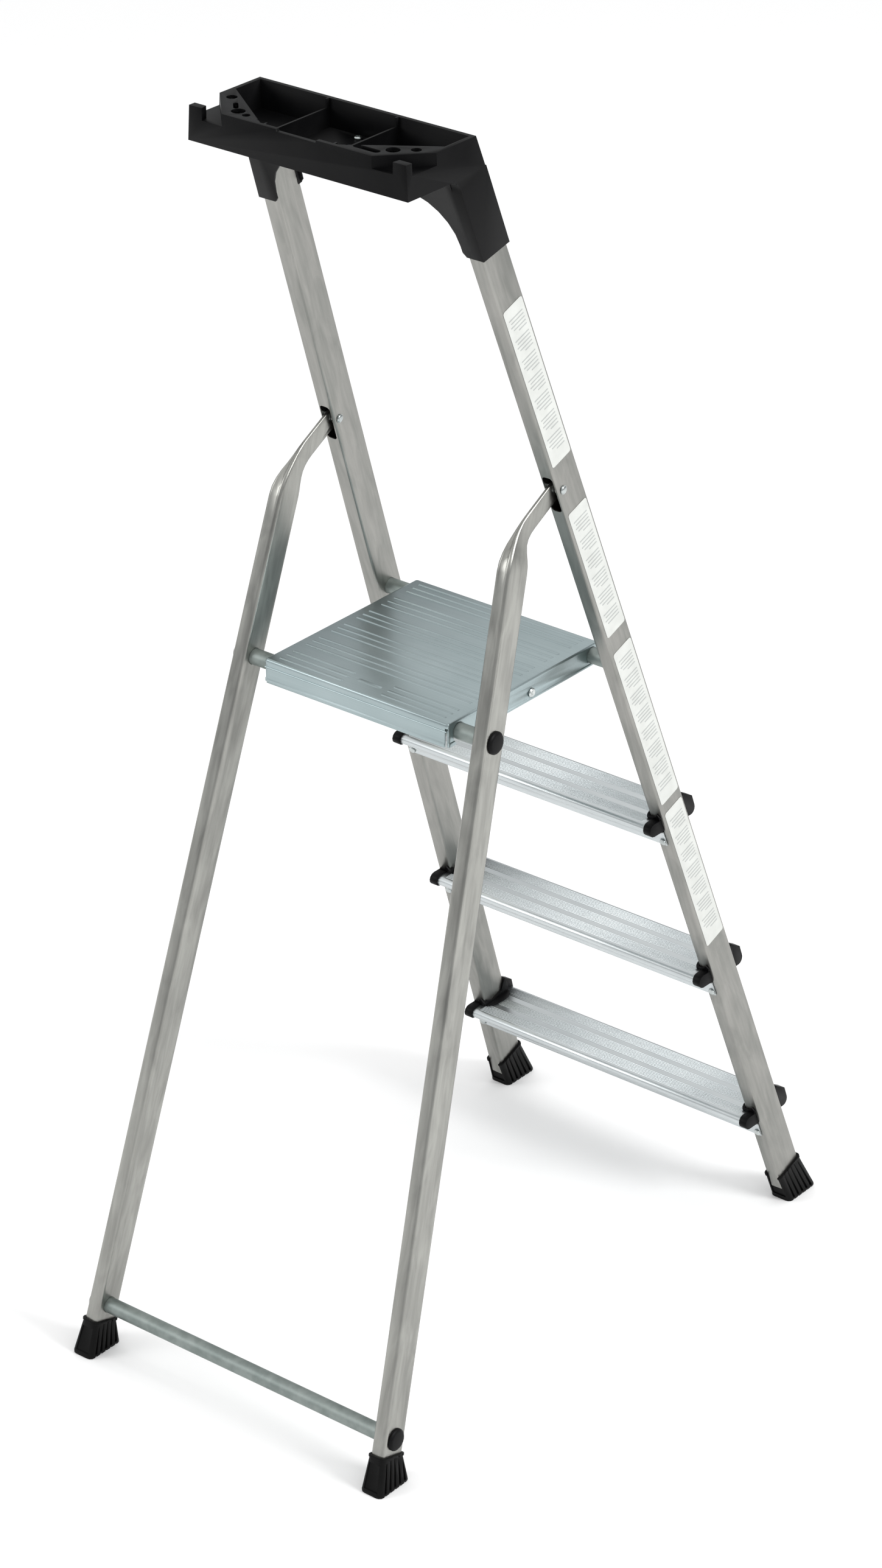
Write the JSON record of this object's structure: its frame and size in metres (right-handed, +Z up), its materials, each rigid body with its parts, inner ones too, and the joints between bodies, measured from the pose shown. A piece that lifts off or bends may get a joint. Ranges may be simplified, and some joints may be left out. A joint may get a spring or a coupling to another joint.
{
  "type": "platform step ladder",
  "caption": "Folding steel step ladder with flat treads, a hinged standing platform, a high guard frame and a moulded tool tray on top.",
  "frame": {"origin": "on the floor, at the middle of the box round the opened ladder", "axes": "+Z up; the climbing side faces -Y and the rear legs stand towards +Y; +X is the climber's right"},
  "size_m": [0.4666, 0.8408, 1.5],
  "materials": {
    "painted_steel": "silver-grey enamel on drawn steel tube, semi-gloss",
    "galvanised_sheet": "pressed galvanised sheet, satin",
    "zinc_plated_steel": "bright zinc plate",
    "black_plastic": "moulded black plastic with a fine grain",
    "black_rubber": "moulded soft black shoe, matt"
  },
  "bodies": {
    "front_frame": {"front_stile_left": "painted_steel", "front_foot_left": "black_rubber", "front_stile_right": "painted_steel", "front_foot_right": "black_rubber", "step_lower": "galvanised_sheet", "step_middle": "galvanised_sheet", "step_upper": "galvanised_sheet", "step_collar_lower_left": "black_plastic", "step_collar_lower_right": "black_plastic", "step_collar_middle_left": "black_plastic", "step_collar_middle_right": "black_plastic", "step_collar_upper_left": "black_plastic", "step_collar_upper_right": "black_plastic", "step_rivet_lower_front_left": "zinc_plated_steel", "step_rivet_lower_front_right": "zinc_plated_steel", "step_rivet_lower_rear_left": "zinc_plated_steel", "step_rivet_lower_rear_right": "zinc_plated_steel", "step_rivet_middle_front_left": "zinc_plated_steel", "step_rivet_middle_front_right": "zinc_plated_steel", "step_rivet_middle_rear_left": "zinc_plated_steel", "step_rivet_middle_rear_right": "zinc_plated_steel", "step_rivet_upper_front_left": "zinc_plated_steel", "step_rivet_upper_front_right": "zinc_plated_steel", "step_rivet_upper_rear_left": "zinc_plated_steel", "step_rivet_upper_rear_right": "zinc_plated_steel", "pivot_rivet_left": "zinc_plated_steel", "pivot_spacer_outer_left": "zinc_plated_steel", "pivot_spacer_inner_left": "zinc_plated_steel", "pivot_rivet_right": "zinc_plated_steel", "pivot_spacer_outer_right": "zinc_plated_steel", "pivot_spacer_inner_right": "zinc_plated_steel", "front_platform_tube": "zinc_plated_steel", "tray": "black_plastic", "tray_brace": "painted_steel", "tray_screw": "zinc_plated_steel"},
    "rear_frame": {"rear_leg_left": "painted_steel", "rear_foot_left": "black_rubber", "rear_leg_right": "painted_steel", "rear_foot_right": "black_rubber", "rear_upper_tube": "zinc_plated_steel", "rear_lower_tube": "zinc_plated_steel", "tube_cap_upper_left": "black_plastic", "tube_cap_upper_right": "black_plastic", "tube_cap_lower_left": "black_plastic", "tube_cap_lower_right": "black_plastic"},
    "platform": {"platform_deck": "galvanised_sheet", "platform_stiffener": "galvanised_sheet", "platform_rivet_left": "zinc_plated_steel", "platform_rivet_right": "zinc_plated_steel"}
  },
  "joints": [
    {"name": "rear_frame_fold", "type": "hinge", "parent": "front_frame", "child": "rear_frame", "pos_m": [0, 0.02301, 1.0685], "axis": [-1, 0, 0], "range_deg": [0, 37]},
    {"name": "platform_fold", "type": "hinge", "parent": "front_frame", "child": "platform", "pos_m": [0, -0.08164, 0.8212], "axis": [1, 0, 0], "range_deg": [0, 69.5]}
  ],
  "couplings": [
    {"joint": "platform_fold", "follows": "rear_frame_fold", "ratio": 1.877}
  ]
}
